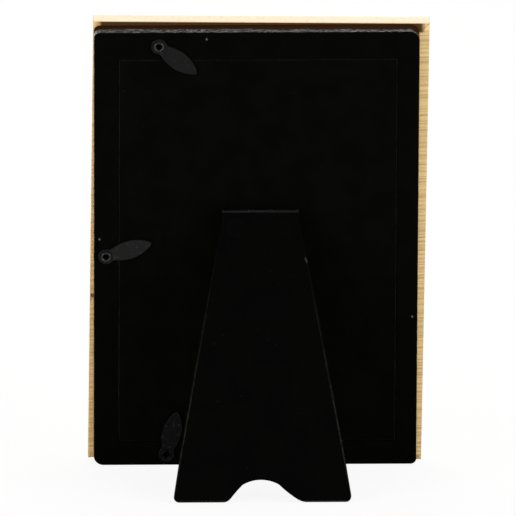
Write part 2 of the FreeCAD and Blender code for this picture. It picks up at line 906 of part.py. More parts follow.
# Lean everything back, then bring the middle of its footprint to the origin
leaned = placement(0, 0, 0, (1, 0, 0), -lean_angle())
for body, place in pieces:
    body.Placement = leaned.multiply(place)
doc.recompute()
whole = Part.makeCompound([body.Shape for body, _ in pieces]).optimalBoundingBox()
centred = FreeCAD.Placement(FreeCAD.Vector(-whole.Center.x, -whole.Center.y, 0), FreeCAD.Rotation())
stand = centred.multiply(leaned)
for body, place in pieces:
    body.Placement = stand.multiply(place)
doc.recompute()

for item in doc.Objects:
    if {"Invalid", "Error"} & set(item.State):
        raise RuntimeError(f"{item.Label} failed: {item.State}")
solid_counts = dict.fromkeys(("corner_nails", "body_brads"), 4)
solid_counts.update(dict.fromkeys(("leaf_rivets", "leg_rivets"), 2))
for body, _ in pieces:
    shape = body.Shape
    if shape.isNull() or not shape.isValid() or len(shape.Solids) != solid_counts.get(body.Label, 1):
        raise RuntimeError(f"{body.Label} is not a sound shape")

os.makedirs("parts", exist_ok=True)
for body, _ in pieces:
    body.Shape.exportStep(f"parts/{body.Label}.step")

print("lean", round(lean_angle(), 4))
print("box", whole.XLength, whole.YLength, whole.ZMin, whole.ZMax)
for label, place in (("hinge", leaf_place), ("front", front_place)):
    print(label, [round(value, 4) for value in stand.multiply(place).Base])
for name, (across, upward, _) in BUTTONS.items():
    print("button", name, [round(value, 4) for value in stand.multVec(placement(across, 0, upward).Base)])
for label, place in (("bottom edge", (0, -size.body_depth / 2, 0)), ("rear face", (0, 0, body_middle))):
    print(label, [round(value, 4) for value in stand.multVec(placement(*place).Base)])
print("outward", [round(value, 6) for value in stand.Rotation.multVec(FreeCAD.Vector(0, 1, 0))])
print("upward", [round(value, 6) for value in stand.Rotation.multVec(FreeCAD.Vector(0, 0, 1))])
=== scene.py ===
"""Looks of a small easel back photo frame: raw wood, black lacquer, pressed steel and glass."""
import json
import logging
import math
from dataclasses import dataclass, field
from enum import Enum
from functools import reduce
from typing import Mapping, Sequence, Union

import bmesh
import bpy
import numpy as np
from mathutils import Matrix, Vector


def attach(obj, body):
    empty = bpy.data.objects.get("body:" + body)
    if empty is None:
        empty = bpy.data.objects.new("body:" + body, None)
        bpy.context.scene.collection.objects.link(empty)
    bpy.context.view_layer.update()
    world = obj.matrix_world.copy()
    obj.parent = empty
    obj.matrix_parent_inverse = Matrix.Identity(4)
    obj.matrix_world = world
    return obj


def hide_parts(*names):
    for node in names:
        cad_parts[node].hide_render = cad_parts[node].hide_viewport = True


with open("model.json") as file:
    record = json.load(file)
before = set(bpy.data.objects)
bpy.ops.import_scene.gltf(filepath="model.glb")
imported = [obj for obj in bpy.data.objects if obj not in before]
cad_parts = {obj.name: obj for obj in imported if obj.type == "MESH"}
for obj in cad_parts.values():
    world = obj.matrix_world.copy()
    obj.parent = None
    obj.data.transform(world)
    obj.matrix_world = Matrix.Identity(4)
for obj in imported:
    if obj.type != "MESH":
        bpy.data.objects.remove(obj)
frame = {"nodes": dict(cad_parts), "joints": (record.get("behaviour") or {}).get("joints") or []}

LOG = logging.getLogger("photo_frame")
MILLIMETRE = 0.001
Colour = tuple[float, float, float, float]
Spot = tuple[float, float, float]
Pair = tuple[float, float]


def tone(red: float, green: float, blue: float) -> Colour:
    """Turn a screen colour into the linear colour that a shader takes.

    Up to 0.04045 a level is divided by 12.92. Above it 0.055 is added, the sum is divided by 1.055
    and raised to the power 2.4.

    Args:
        red: the red level, 0 to 255.
        green: the green level.
        blue: the blue level.

    Returns:
        The colour, opaque.
    """
    screen = np.array([red, green, blue]) / 255.0
    linear = np.where(screen <= 0.04045, screen / 12.92, ((screen + 0.055) / 1.055) ** 2.4)
    return (*linear.tolist(), 1.0)


class Run(Enum):
    """Which way a rail's grain runs on the front."""

    ACROSS = "across"
    UPRIGHT = "upright"


class Corner(Enum):
    """Where a turn button stands on the rear body."""

    TOP = "top"
    SIDE = "side"
    BOTTOM = "bottom"


@dataclass(frozen=True)
class Seat:
    """A local frame in millimetres: X across, Y out of the back and Z up the board.

    Args:
        place: the frame's origin in metres, in the row frame.
        tilt: its turn about the row's X, in degrees.
        turn: its turn about its own Y before the tilt, in degrees.
    """

    place: Spot
    tilt: float
    turn: float = 0.0

    @property
    def rotation(self) -> Matrix:
        """Give the frame's rotation."""
        tilt = Matrix.Rotation(math.radians(self.tilt), 3, "X")
        return tilt @ Matrix.Rotation(math.radians(self.turn), 3, "Y")

    def to_row(self, points: np.ndarray) -> np.ndarray:
        """Turn points in this frame, in millimetres, into the row frame's metres."""
        return points @ np.array(self.rotation).T * MILLIMETRE + np.array(self.place)

    def moved(
        self, across: float, outward: float, upward: float, tilt: float = 0.0, turn: float = 0.0
    ) -> "Seat":
        """Give a frame set off from this one.

        Args:
            across: distance along this frame's X, in millimetres.
            outward: distance along its Y.
            upward: distance along its Z.
            tilt: extra turn about X, in degrees.
            turn: turn about Y, in degrees.

        Returns:
            The new frame.
        """
        spot = self.to_row(np.array([[across, outward, upward]]))[0]
        return Seat(tuple(spot.tolist()), self.tilt + tilt, turn)


@dataclass(frozen=True)
class Layout:
    """Where the sub-assemblies stand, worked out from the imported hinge.

    Args:
        hinge_shift: how far the hinge stands left of the body's middle, in millimetres.
        pin_height: how far the pin stands out of the board.
        hinge_height: the pin's height above the body's bottom edge, along the board.
        leg_open: the leg's angle from the board, in degrees.
        front_offset: how far the wooden front stands left of the body's middle.
        front_middle: the height of the front's middle above the body's bottom edge.
        front_skew: the front's turn on the body, in degrees.
    """

    hinge_shift: float = 1.5
    pin_height: float = 1.32
    hinge_height: float = 103.8
    leg_open: float = 34.0
    front_offset: float = 0.9
    front_middle: float = 88.35
    front_skew: float = 0.6

    @property
    def lean(self) -> float:
        """Give the board's lean in degrees, from the way the buttons' axes point."""
        axis = next(joint for joint in frame["joints"] if joint["name"] == "button_top_turn")["axis"]
        return math.degrees(math.atan2(-axis[2], axis[1]))

    @property
    def hinge(self) -> Seat:
        """Give the leaf's frame, about the pin, parallel to the board."""
        pin = next(joint for joint in frame["joints"] if joint["name"] == "leg_fold")["pos_m"]
        return Seat(tuple(pin), -self.lean)

    @property
    def board(self) -> Seat:
        """Give the board's frame: the rear face is at Y 0, the body's bottom edge at Z 0."""
        return self.hinge.moved(self.hinge_shift, -self.pin_height, -self.hinge_height)

    @property
    def leg(self) -> Seat:
        """Give the leg's frame, about the pin, with the leg open."""
        return self.hinge.moved(0.0, 0.0, 0.0, tilt=self.leg_open)

    @property
    def front(self) -> Seat:
        """Give the wooden front's own frame, slightly askew."""
        return self.board.moved(-self.front_offset, 0.0, self.front_middle, turn=-self.front_skew)


LAYOUT = Layout()


# Shader maths


class Number:
    """A number socket that takes part in Python expressions."""

    def __init__(self, recipe: "Recipe", socket: bpy.types.NodeSocket) -> None:
        """Keep the recipe and the socket."""
        self.recipe = recipe
        self.socket = socket

    def _math(self, operation: str, first: "Feed", second: "Feed" = 0.0) -> "Number":
        """Add one Math node and wrap its result."""
        node = self.recipe.add("ShaderNodeMath", {"operation": operation}, {0: first, 1: second})
        return Number(self.recipe, node.outputs[0])

    def __add__(self, other: "Feed") -> "Number":
        """Add."""
        return self._math("ADD", self, other)

    __radd__ = __add__

    def __mul__(self, other: "Feed") -> "Number":
        """Multiply."""
        return self._math("MULTIPLY", self, other)

    __rmul__ = __mul__

    def __sub__(self, other: "Feed") -> "Number":
        """Subtract."""
        return self._math("SUBTRACT", self, other)

    def __rsub__(self, other: "Feed") -> "Number":
        """Subtract this from something."""
        return self._math("SUBTRACT", other, self)

    def __pow__(self, other: "Feed") -> "Number":
        """Raise to a power."""
        return self._math("POWER", self, other)

    def __abs__(self) -> "Number":
        """Drop the sign."""
        return self._math("ABSOLUTE", self)

    def root(self) -> "Number":
        """Take the square root."""
        return self._math("SQRT", self)

    def least(self, other: "Feed") -> "Number":
        """Give the smaller of two."""
        return self._math("MINIMUM", self, other)

    def most(self, other: "Feed") -> "Number":
        """Give the larger of two."""
        return self._math("MAXIMUM", self, other)

    def rise(self, low: float, high: float) -> "Number":
        """Go smoothly from 0 to 1.

        Args:
            low: where the result is 0.
            high: where it is 1. If that is the smaller value, the result falls instead.

        Returns:
            The result.
        """
        start, stop = (0.0, 1.0) if low < high else (1.0, 0.0)
        node = self.recipe.add("ShaderNodeMapRange", {"interpolation_type": "SMOOTHSTEP"}, {
            "Value": self, "From Min": min(low, high), "From Max": max(low, high),
            "To Min": start, "To Max": stop,
        })
        return Number(self.recipe, node.outputs[0])


Feed = Union[Number, bpy.types.NodeSocket, float, Sequence[float]]


def apart(across: Number, upward: Number, narrow: float = 1.0) -> Number:
    """Give the root of the sum of two squares, the first of them times a number."""
    return (across ** 2.0 * narrow + upward ** 2.0).root()


@dataclass(frozen=True)
class Grain:
    """One noise's character.

    Args:
        waves: waves for each millimetre in three directions.
        octaves: how many finer noises are added.
        weight: how strong each is beside the one before.
        bend: how much the noise distorts itself.
        cut: the levels between which its marks rise from nothing to full.
    """

    waves: Spot
    octaves: float = 3.0
    weight: float = 0.55
    bend: float = 0.0
    cut: Pair = (0.35, 0.65)


@dataclass(frozen=True)
class Scatter:
    """Scattered dots.

    Args:
        waves: how many stand along a millimetre.
        fade: the distances from a dot's middle at which it starts and is full.
        cut: the levels between which a noise lets a dot show.
    """

    waves: float
    fade: Pair
    cut: Pair = (0.5, 0.6)


class Recipe:
    """The nodes of one material, or of the world."""

    def __init__(self, name: str, world: bool = False) -> None:
        """Start an empty material, or an empty world."""
        self.holder = (bpy.data.worlds if world else bpy.data.materials).new(name)
        self.output = "ShaderNodeOutputWorld" if world else "ShaderNodeOutputMaterial"
        self.holder.use_nodes = True
        self.tree = self.holder.node_tree
        self.tree.nodes.clear()

    def add(
        self,
        kind: str,
        settings: Mapping[str, object] | None = None,
        sockets: Mapping[Union[str, int], Feed] | None = None,
    ) -> bpy.types.Node:
        """Add one node.

        Args:
            kind: the node's type.
            settings: its own settings, which are set first.
            sockets: a value or a link for each input, by name or number.

        Returns:
            The node.
        """
        node = self.tree.nodes.new(kind)
        for name, value in (settings or {}).items():
            setattr(node, name, value)
        for key, feed in (sockets or {}).items():
            source = feed.socket if isinstance(feed, Number) else feed
            if isinstance(source, bpy.types.NodeSocket):
                self.tree.links.new(source, node.inputs[key])
            else:
                node.inputs[key].default_value = source
        return node

    def place(self, seat: Seat) -> tuple[Number, Number, Number]:
        """Give the distances in a local frame.

        Args:
            seat: the frame.

        Returns:
            The across, outward and upward distances, in millimetres.
        """
        local = self.add("ShaderNodeMapping", {"vector_type": "TEXTURE"}, {
            "Vector": self.add("ShaderNodeTexCoord").outputs["Object"],
            "Location": seat.place,
            "Rotation": tuple(seat.rotation.to_euler("XYZ")),
            "Scale": (MILLIMETRE, MILLIMETRE, MILLIMETRE),
        }).outputs[0]
        parts = self.add("ShaderNodeSeparateXYZ", {}, {0: local}).outputs
        return Number(self, parts[0]), Number(self, parts[1]), Number(self, parts[2])

    def spot(self, across: Feed, outward: Feed, upward: Feed) -> bpy.types.NodeSocket:
        """Join three numbers into a vector."""
        return self.add("ShaderNodeCombineXYZ", {}, {0: across, 1: outward, 2: upward}).outputs[0]

    def noise(self, at: Feed, grain: Grain, start: Feed = (0.0, 0.0, 0.0)) -> Number:
        """Give a noise: each distance times its waves, plus a start, is the place in the pattern.

        Args:
            at: distances in millimetres, as a vector.
            grain: the noise's character.
            start: where in the pattern it starts.

        Returns:
            The noise, from about 0.3 to 0.7.
        """
        settings = {"operation": "MULTIPLY_ADD"}
        spot = self.add("ShaderNodeVectorMath", settings, {0: at, 1: grain.waves, 2: start})
        node = self.add("ShaderNodeTexNoise", {}, {
            "Vector": spot.outputs[0], "Scale": 1.0, "Detail": grain.octaves, "Roughness": grain.weight,
            "Distortion": grain.bend,
        })
        return Number(self, node.outputs[0])

    def dots(self, at: Feed, scatter: Scatter, among: Number) -> Number:
        """Give scattered dots where a noise is high.

        Args:
            at: distances in millimetres, as a vector.
            scatter: how the dots lie.
            among: the noise.

        Returns:
            1 on a dot and 0 off it.
        """
        node = self.add("ShaderNodeTexVoronoi", {}, {"Vector": at, "Scale": scatter.waves})
        return Number(self, node.outputs["Distance"]).rise(*scatter.fade) * among.rise(*scatter.cut)

    def coats(self, ground: Feed, *coats: tuple[Feed, Colour]) -> Feed:
        """Lay colours over a ground, one after another.

        Args:
            ground: the colour below.
            coats: how much of each colour shows, and the colour.

        Returns:
            The colour on top.
        """
        for share, colour in coats:
            node = self.add("ShaderNodeMix", {"data_type": "RGBA"}, {0: share, 6: ground, 7: colour})
            ground = node.outputs[2]
        return ground

    def relief(self, height: Feed, depth: float) -> bpy.types.NodeSocket:
        """Turn a height from 0 to 1 into a bump of a depth in millimetres."""
        return self.add("ShaderNodeBump", {}, {"Height": height, "Distance": depth * MILLIMETRE}).outputs[0]

    def skin(self, sockets: Mapping[Union[str, int], Feed]) -> bpy.types.NodeSocket:
        """Add the main shader and give its result."""
        return self.add("ShaderNodeBsdfPrincipled", {}, sockets).outputs[0]

    def cover(self, share: Feed, under: Feed, over: Feed) -> bpy.types.NodeSocket:
        """Lay a share of one shader over another."""
        return self.add("ShaderNodeMixShader", {}, {0: share, 1: under, 2: over}).outputs[0]

    def seen(self, camera: float, gloss: float) -> Number:
        """Give one share to the camera's rays and another to those of gloss and glass, else nought."""
        path = self.add("ShaderNodeLightPath").outputs
        glossy = Number(self, path["Is Glossy Ray"]).most(path["Is Transmission Ray"])
        return (Number(self, path["Is Camera Ray"]) * camera).most(glossy * gloss)

    def done(self, shader: bpy.types.NodeSocket) -> bpy.types.ID:
        """Close the material or the world with a shader."""
        self.add(self.output, {}, {"Surface": shader})
        return self.holder


# Finishes
# A share says how much of a colour or a height shows, and a swing how far a noise moves the roughness.

NOISE_MIDDLE = 0.5
WHITE = tone(255, 255, 255)


@dataclass(frozen=True)
class RawWood:
    """Sanded, unvarnished pale wood of one front rail, saw-marked behind and pored along its grain.

    Pairs are distances in millimetres at which something starts and is full: from the rear face into
    the wood (rear_skin, crest_rim, knot_sink), down from the top edge (crest_drop, shadow_drop), in
    from the sides and ends (spray_side, glue_end) and out from a middle (under_body_half_width,
    knot_radius). The stain colour is painted shadow along the top of the rear face, painted shade on
    the rear face under the body, and the dark of the mitre joints.
    """

    name: str
    run: Run
    shift: float
    # Share of the paler sawn tone on the rear face; it differs by rail as painted light.
    sawn_and_lit_share: float
    seat: Seat
    half_width: float = 62.5
    half_height: float = 88.8
    rear: float = -7.0
    pale: Colour = tone(240, 206, 146)
    deep: Colour = tone(214, 166, 98)
    # Painted light: a paler tone for the top face, as if lit strongly from above.
    top_painted_light: Colour = tone(246, 233, 208)
    sawn: Colour = tone(255, 222, 158)
    pore: Colour = tone(150, 105, 58)
    # Painted shadow and shade on the rear face, and the dark of the mitre joints.
    stain: Colour = tone(62, 36, 8)
    knot: Colour = tone(104, 52, 28)
    wander: Grain = Grain((0.1, 0.1, 0.02), 2.0)
    bands: Grain = Grain((0.55, 0.55, 0.012), 3.0, 0.5, cut=(0.36, 0.64))
    fibre: Grain = Grain((5.0, 5.0, 0.16), 5.0, 0.65, cut=(0.35, 0.7))
    pores: Grain = Grain((4.2, 4.2, 0.5), 2.0, 0.4, cut=(0.61, 0.7))
    saw: Grain = Grain((1.15, 1.0, 0.02), 3.0, 0.7, cut=(0.42, 0.62))
    band_wander: float = 5.0
    saw_slant: float = 0.0435
    rear_skin: Pair = (0.4, 0.05)
    crest_drop: Pair = (0.9, 0.5)
    crest_rim: Pair = (1.6, 0.1)
    shadow_drop: Pair = (4.0, 3.0)
    spray_side: Pair = (1.2, 3.4)
    under_body_middle: float = 0.9
    under_body_half_width: Pair = (59.4, 58.8)
    glue_end: Pair = (1.9, 2.5)
    knot_across: float = 61.6
    knot_height: float = -22.3
    knot_radius: Pair = (1.5, 0.75)
    knot_ragged: float = 0.5
    knot_sink: Pair = (3.0, 1.0)
    mitre_line: float = 0.16
    fibre_share: float = 0.45
    top_light_share: float = 0.8
    rim_share: float = 0.75
    pore_share: float = 0.5
    saw_share: float = 0.42
    # How much of the painted shadow and shade shows.
    stain_share: float = 0.97
    knot_share: float = 0.9
    mitre_share: float = 0.75
    fibre_height: float = 0.5
    saw_height: float = 0.6
    pore_sink: float = 0.6
    mitre_sink: float = 0.8
    depth: float = 0.05
    rough: float = 0.5
    rough_swing: float = 0.2
    sheen: float = 0.15

    def build(self) -> bpy.types.Material:
        """Make the finish.

        Growth bands are a noise stretched along the grain, bent by a slower one. Pores are a finer
        one cut high. The saw marks lie across the grain on the rear face only.

        Returns:
            The material.
        """
        recipe = Recipe(self.name)
        across, outward, upward = recipe.place(self.seat)
        along, beside = (across, upward) if self.run is Run.ACROSS else (upward, across)
        at = recipe.spot(beside, outward, along)
        wander = recipe.noise(at, self.wander, (0.0, 0.0, self.shift))
        bands = recipe.noise(at, self.bands, recipe.spot(wander * self.band_wander, 0.0, self.shift))
        fibre = recipe.noise(at, self.fibre, (self.shift, 0.0, 0.0))
        pores = recipe.noise(at, self.pores, (0.0, self.shift, 0.0)).rise(*self.pores.cut)
        saw = recipe.noise(recipe.spot(along + beside * self.saw_slant, self.shift, outward), self.saw)
        side, end = self.half_width - abs(across), self.half_height - abs(upward)
        drop, sunk = self.half_height - upward, self.rear - outward
        behind = sunk.rise(*self.rear_skin)
        crest = drop.rise(*self.crest_drop)
        # Painted shadow: the top strip of the rear face, fading towards the corners.
        spray = drop.rise(*self.shadow_drop) * side.rise(*self.spray_side)
        # Painted shade: the rear face under the body, seen down the gaps.
        under_body_shade = abs(across - self.under_body_middle).rise(*self.under_body_half_width) * end.rise(*self.glue_end)
        ring = apart(across - self.knot_across, upward - self.knot_height) + fibre * self.knot_ragged
        mitre = abs(end - side).rise(self.mitre_line, 0.0)
        streaks = bands.rise(*self.bands.cut) * (1.0 - self.fibre_share)
        colour = recipe.coats(
            self.pale,
            (streaks + fibre.rise(*self.fibre.cut) * self.fibre_share, self.deep),
            # Painted light: the top face is painted paler.
            (crest * self.top_light_share, self.top_painted_light),
            (crest * sunk.rise(*self.crest_rim) * self.rim_share, self.deep),
            (pores * self.pore_share, self.pore),
            # Paler sawn rear face, more of it on the left rail as painted light.
            (behind * self.sawn_and_lit_share, self.sawn),
            (saw.rise(*self.saw.cut) * behind * self.saw_share, self.pore),
            # Painted shadow and shade on the rear face.
            (spray.most(under_body_shade) * behind * self.stain_share, self.stain),
            (ring.rise(*self.knot_radius) * sunk.rise(*self.knot_sink) * self.knot_share, self.knot),
            (mitre * self.mitre_share, self.stain),
        )
        height = fibre * self.fibre_height + saw * behind * self.saw_height
        height = height - pores * self.pore_sink - mitre * self.mitre_sink
        return recipe.done(recipe.skin({
            "Base Color": colour,
            "Roughness": fibre * self.rough_swing + self.rough,
            "Specular IOR Level": self.sheen,
            "Normal": recipe.relief(height, self.depth),
        }))


@dataclass(frozen=True)
class Lacquer:
    """Black lacquer of the rear body: dead flat behind, thick, glossy and uneven round the sides.

    Towards the wood the lacquer turns flat and brown. Pairs are distances in millimetres at which
    something starts and is full: outwards (brown_fade), inwards (edge_fade) and about a chip.
    """

    name: str = "black_lacquer"
    flat: Colour = tone(4, 4, 3)
    cloud: Colour = tone(6, 6, 5)
    gloss: Colour = tone(8, 7, 6)
    brown_near_wood: Colour = tone(42, 22, 3)
    chip: Colour = tone(96, 74, 50)
    speck: Colour = tone(46, 45, 42)
    mottle: Grain = Grain((0.12, 0.12, 0.12), 4.0)
    grit: Grain = Grain((3.2, 3.2, 3.2), 3.0, 0.6)
    runs: Grain = Grain((0.16, 0.9, 0.16), 4.0, 0.6, 0.6, (0.44, 0.56))
    drops: Grain = Grain((0.7, 1.4, 0.7), 3.0, 0.6, cut=(0.42, 0.52))
    streaks: Grain = Grain((0.28, 3.4, 0.28), 4.0, 0.65, 0.8)
    specks: Scatter = Scatter(0.33, (0.1, 0.04), (0.52, 0.62))
    cloud_share: float = 0.6
    speck_share: float = 0.4
    half_width: float = 60.5
    brown_fade: Pair = (-3.0, -2.2)
    brown_slant: float = 0.012
    run_reach: float = 5.0
    drop_reach: float = 2.0
    chip_heights: tuple[float, ...] = (170.8, 114.4, 93.6)
    chip_fade: Pair = (1.15, 0.8)
    chip_ragged: float = 0.8
    chip_narrow: float = 3.0
    chip_share: float = 0.85
    edge_fade: Pair = (0.22, 0.44)
    edge_ragged: float = 0.25
    broken_share: float = 0.75
    drop_height: float = 0.5
    streak_height: float = 0.3
    flat_depth: float = 0.012
    flat_rough: float = 0.66
    flat_swing: float = 0.2
    flat_sheen: float = 0.01
    gloss_depth: float = 0.6
    gloss_rough: float = 0.03
    gloss_swing: float = 0.26
    gloss_sheen: float = 0.5

    def build(self) -> bpy.types.Material:
        """Make the finish: two shaders mixed by the depth behind the rear face.

        Returns:
            The material.
        """
        recipe = Recipe(self.name)
        across, outward, upward = recipe.place(LAYOUT.board)
        at = recipe.spot(across, outward, upward)
        mottle, grit = recipe.noise(at, self.mottle), recipe.noise(at, self.grit)
        runs, drops = recipe.noise(at, self.runs), recipe.noise(at, self.drops)
        streaks = recipe.noise(at, self.streaks)
        ragged = (runs - NOISE_MIDDLE) * self.run_reach + (drops - NOISE_MIDDLE) * self.drop_reach
        # Brown and without gloss towards the wood.
        away_from_wood = (outward + across * self.brown_slant + ragged).rise(*self.brown_fade)
        flat = recipe.skin({
            "Base Color": recipe.coats(
                self.flat,
                (mottle.rise(*self.mottle.cut) * self.cloud_share, self.cloud),
                (recipe.dots(at, self.specks, grit) * self.speck_share, self.speck),
                (1.0 - away_from_wood, self.brown_near_wood),
            ),
            "Roughness": mottle * self.flat_swing + self.flat_rough,
            "Specular IOR Level": self.flat_sheen,
            "Normal": recipe.relief(grit, self.flat_depth),
        })
        chips = reduce(Number.most, [
            (apart(across + self.half_width, upward - height, self.chip_narrow) + grit * self.chip_ragged)
            .rise(*self.chip_fade)
            for height in self.chip_heights
        ])
        gloss = recipe.skin({
            "Base Color": recipe.coats(self.gloss, (chips * self.chip_share, self.chip)),
            "Roughness": runs.rise(*self.runs.cut) * self.gloss_swing + self.gloss_rough,
            "Specular IOR Level": self.gloss_sheen,
            "Normal": recipe.relief(
                runs + drops * self.drop_height + streaks * self.streak_height, self.gloss_depth,
            ),
        })
        edge = (drops * self.edge_ragged - outward).rise(*self.edge_fade)
        broken = drops.rise(*self.drops.cut) * self.broken_share + (1.0 - self.broken_share)
        return recipe.done(recipe.cover(edge * away_from_wood * broken, flat, gloss))


@dataclass(frozen=True)
class BlackBoard:
    """Black paper-faced fibreboard with a fine tooth, a few specks, and rubbed edges that carry a painted
    highlight.

    Below the bend the half width grows by the slope for each millimetre. Where the highlight fades
    upward, the painted edge highlight is full at the lower end and goes out towards the upper end. A
    nick is a place where the paper is gone in the shape of a comma.
    """

    name: str
    seat: Seat
    half_width: float
    low: float
    high: float
    slope: float = 0.0
    bend: float = 0.0
    face: Colour = tone(3, 3, 2)
    cloud: Colour = tone(6, 6, 5)
    # Rubbed paper and a painted highlight along the edges.
    edge_wear_and_highlight: Colour = tone(26, 26, 25)
    speck: Colour = tone(60, 58, 54)
    mottle: Grain = Grain((0.09, 0.09, 0.09), 4.0)
    tooth: Grain = Grain((4.0, 4.0, 4.0), 3.0, 0.65)
    lint: Grain = Grain((1.1, 1.0, 0.25), 2.0, 0.5, 1.5, (0.42, 0.6))
    specks: Scatter = Scatter(0.28, (0.075, 0.03))
    wear_and_highlight: float = 0.8
    wear_and_highlight_width: Pair = (0.42, 0.08)
    lint_share: float = 0.7
    highlight_fades_upward: bool = False
    nick: Pair | None = None
    nick_radius: Pair = (1.45, 1.0)
    nick_ragged: float = 0.4
    nick_slant: float = 0.35
    nick_curl: float = 0.1
    nick_narrow: float = 9.0
    cloud_share: float = 0.6
    speck_share: float = 0.6
    wear_and_highlight_height: float = 0.4
    depth: float = 0.02
    rough: float = 0.6
    rough_swing: float = 0.2
    sheen: float = 0.015

    def build(self) -> bpy.types.Material:
        """Make the finish.

        Returns:
            The material.
        """
        recipe = Recipe(self.name)
        across, outward, upward = recipe.place(self.seat)
        at = recipe.spot(across, outward, upward)
        mottle, tooth = recipe.noise(at, self.mottle), recipe.noise(at, self.tooth)
        lint = recipe.noise(at, self.lint).rise(*self.lint.cut)
        half = (self.bend - upward).most(0.0) * self.slope + self.half_width
        border = abs(abs(across) - half).least(abs(upward - self.low)).least(abs(upward - self.high))
        # Painted highlight, with some rubbing, along the edges.
        wear_and_highlight = border.rise(*self.wear_and_highlight_width) * (lint * self.lint_share + (1.0 - self.lint_share)) * self.wear_and_highlight
        # Painted light: the edge highlight is full at the lower end and goes out upwards.
        if self.highlight_fades_upward:
            wear_and_highlight = wear_and_highlight * upward.rise(self.high, self.low)
        specks = recipe.dots(at, self.specks, tooth)
        if self.nick:
            past, above = across - self.nick[0], upward - self.nick[1]
            curled = past - above * self.nick_slant - above * above * self.nick_curl
            comma = apart(curled, above, self.nick_narrow) + tooth * self.nick_ragged
            specks = specks.most(comma.rise(*self.nick_radius))
        return recipe.done(recipe.skin({
            "Base Color": recipe.coats(
                self.face,
                (mottle.rise(*self.mottle.cut) * self.cloud_share, self.cloud),
                (wear_and_highlight, self.edge_wear_and_highlight),
                (specks * self.speck_share, self.speck),
            ),
            "Roughness": mottle * self.rough_swing + self.rough,
            "Specular IOR Level": self.sheen,
            "Normal": recipe.relief(tooth + wear_and_highlight * self.wear_and_highlight_height, self.depth),
        }))


@dataclass(frozen=True)
class StovedSteel:
    """Pressed steel stoved black, with a soft sheen, fine orange peel and edges rubbed brighter.

    Dishes are pressed hollows with painted shade in them, and nicks are bare spots, both given by their
    places on the face. The shine is the span of distances from the middle over which the dull coat goes
    over into a bright one.
    """

    name: str
    seat: Seat
    face: Colour = tone(24, 24, 24)
    cloud: Colour = tone(19, 19, 20)
    painted_dish_shade: Colour = tone(9, 9, 9)
    bare: Colour = tone(150, 148, 144)
    peel: Grain = Grain((1.6, 1.6, 1.6), 3.0, 0.5, cut=(0.3, 0.7))
    scratch: Grain = Grain((0.5, 1.0, 6.0), 3.0, 0.5, 0.4)
    wear: Grain = Grain((0.8, 0.8, 0.8), 4.0, 0.7, cut=(0.58, 0.72))
    cloud_share: float = 0.5
    wear_share: float = 0.25
    rubbed: float = 0.5
    sheen: float = 0.12
    rough: float = 0.42
    dishes: tuple[Pair, ...] = ()
    dish_fade: Pair = (3.05, 2.45)
    nicks: tuple[Pair, ...] = ()
    nick_fade: Pair = (0.42, 0.21)
    nick_ragged: float = 0.9
    nick_narrow: float = 0.7
    shine: Pair | None = None
    dulled: float = 0.4
    wear_metal: float = 0.6
    wear_polish: float = 0.1
    scratch_swing: float = 0.16
    scratch_height: float = 0.25
    depth: float = 0.012

    def build(self) -> bpy.types.Material:
        """Make the finish: painted shade in the pressed dishes, bare where it is nicked.

        Returns:
            The material.
        """
        recipe = Recipe(self.name)
        across, outward, upward = recipe.place(self.seat)
        at = recipe.spot(across, outward, upward)
        peel, scratch = recipe.noise(at, self.peel), recipe.noise(at, self.scratch)
        wear = recipe.noise(at, self.wear).rise(*self.wear.cut) * self.rubbed * self.wear_share
        colour = recipe.coats(self.face, (peel.rise(*self.peel.cut) * self.cloud_share, self.cloud))
        # Painted shade in each pressed dish.
        for middle, height in self.dishes:
            dish = apart(across - middle, upward - height).rise(*self.dish_fade)
            colour = recipe.coats(colour, (dish, self.painted_dish_shade))
        ragged = across + (peel - NOISE_MIDDLE) * self.nick_ragged
        for middle, height in self.nicks:
            nick = apart(ragged - middle, (upward - height) * self.nick_narrow)
            wear = wear.most(nick.rise(*self.nick_fade))
        rough = scratch * self.scratch_swing - wear * self.wear_polish + self.rough
        if self.shine:
            rough = rough + (1.0 - abs(across).rise(*self.shine)) * self.dulled
        return recipe.done(recipe.skin({
            "Base Color": recipe.coats(colour, (wear, self.bare)),
            "Metallic": wear * self.wear_metal,
            "Roughness": rough,
            "Specular IOR Level": self.sheen,
            "Normal": recipe.relief(peel + scratch * self.scratch_height, self.depth),
        }))


@dataclass(frozen=True)
class BrightSteel:
    """Drawn steel wire: bright, with fine lines along it and a trace of dark in the hollows."""

    name: str
    bright: Colour = tone(196, 195, 192)
    dull: Colour = tone(128, 124, 118)
    lines: Grain = Grain((0.4, 7.0, 7.0))
    stain: Grain = Grain((0.7, 0.7, 0.7), 4.0, cut=(0.45, 0.7))
    stain_share: float = 0.6
    rough: float = 0.22
    line_swing: float = 0.2
    stain_swing: float = 0.12
    depth: float = 0.01

    def build(self) -> bpy.types.Material:
        """Make the finish.

        Returns:
            The material.
        """
        recipe = Recipe(self.name)
        at = recipe.spot(*recipe.place(LAYOUT.board))
        lines = recipe.noise(at, self.lines)
        stain = recipe.noise(at, self.stain).rise(*self.stain.cut)
        return recipe.done(recipe.skin({
            "Base Color": recipe.coats(self.bright, (stain * self.stain_share, self.dull)),
            "Metallic": 1.0,
            "Roughness": lines * self.line_swing + stain * self.stain_swing + self.rough,
            "Normal": recipe.relief(lines, self.depth),
        }))


